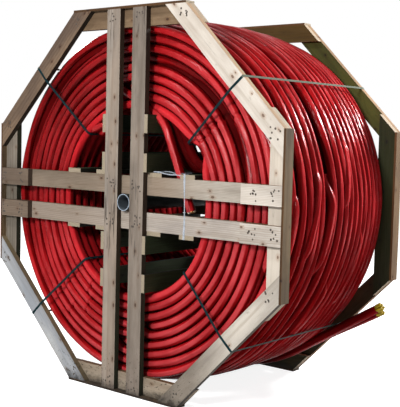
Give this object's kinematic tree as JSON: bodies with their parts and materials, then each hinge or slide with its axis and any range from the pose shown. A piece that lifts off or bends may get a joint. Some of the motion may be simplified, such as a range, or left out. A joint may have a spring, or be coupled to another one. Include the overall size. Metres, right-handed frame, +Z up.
{
  "type": "fiber duct coil on drum",
  "caption": "Coil of red sheathed microduct wound on an octagonal timber drum with a hub tube, packing straps and capped ends.",
  "frame": {"origin": "middle of the hub tube's bore, on the drum's axis", "axes": "+Z up, -Y out of the front flange along the drum's axis, +X to the right seen from the front"},
  "size_m": [2.0497, 1.1026, 2.024],
  "materials": {
    "flange_timber": "sawn softwood planks, weathered grey to pale, nailed",
    "edge_timber": "thin sawn boards, darker and rougher",
    "core_timber": "sawn softwood boards, greenish treated",
    "hub_tube": "light grey pipe with a dull rim",
    "duct_sheath": "glossy red polyethylene sheath",
    "duct_caps": "yellow moulded end caps",
    "strap_band": "dark green embossed packing strap",
    "tie_film": "thin cloudy plastic band"
  },
  "bodies": {
    "root": {"core_boards_left": "core_timber", "core_boards_lower": "core_timber", "core_boards_right": "core_timber", "core_boards_upper": "core_timber", "duct_coil": "duct_sheath", "front_crossbar_lower": "flange_timber", "front_crossbar_upper": "flange_timber", "front_diagonal_lower_left": "flange_timber", "front_diagonal_lower_right": "flange_timber", "front_diagonal_upper_left": "flange_timber", "front_diagonal_upper_right": "flange_timber", "front_edge_boards": "edge_timber", "front_end_blocks": "flange_timber", "front_rim_bottom": "flange_timber", "front_rim_left": "flange_timber", "front_rim_right": "flange_timber", "front_rim_top": "flange_timber", "front_upright_left": "flange_timber", "front_upright_right": "flange_timber", "hub_tube": "hub_tube", "inner_duct_end": "duct_sheath", "outer_duct_ends": "duct_sheath", "outer_end_caps": "duct_caps", "rear_crossbar_lower": "flange_timber", "rear_crossbar_upper": "flange_timber", "rear_diagonal_lower_left": "flange_timber", "rear_diagonal_lower_right": "flange_timber", "rear_diagonal_upper_left": "flange_timber", "rear_diagonal_upper_right": "flange_timber", "rear_edge_boards": "edge_timber", "rear_end_blocks": "flange_timber", "rear_rim_bottom": "flange_timber", "rear_rim_left": "flange_timber", "rear_rim_right": "flange_timber", "rear_rim_top": "flange_timber", "rear_upright_left": "flange_timber", "rear_upright_right": "flange_timber", "strap_lower_left": "strap_band", "strap_lower_right": "strap_band", "strap_upper_left": "strap_band", "strap_upper_right": "strap_band", "tie_band": "tie_film"}
  },
  "joints": []
}
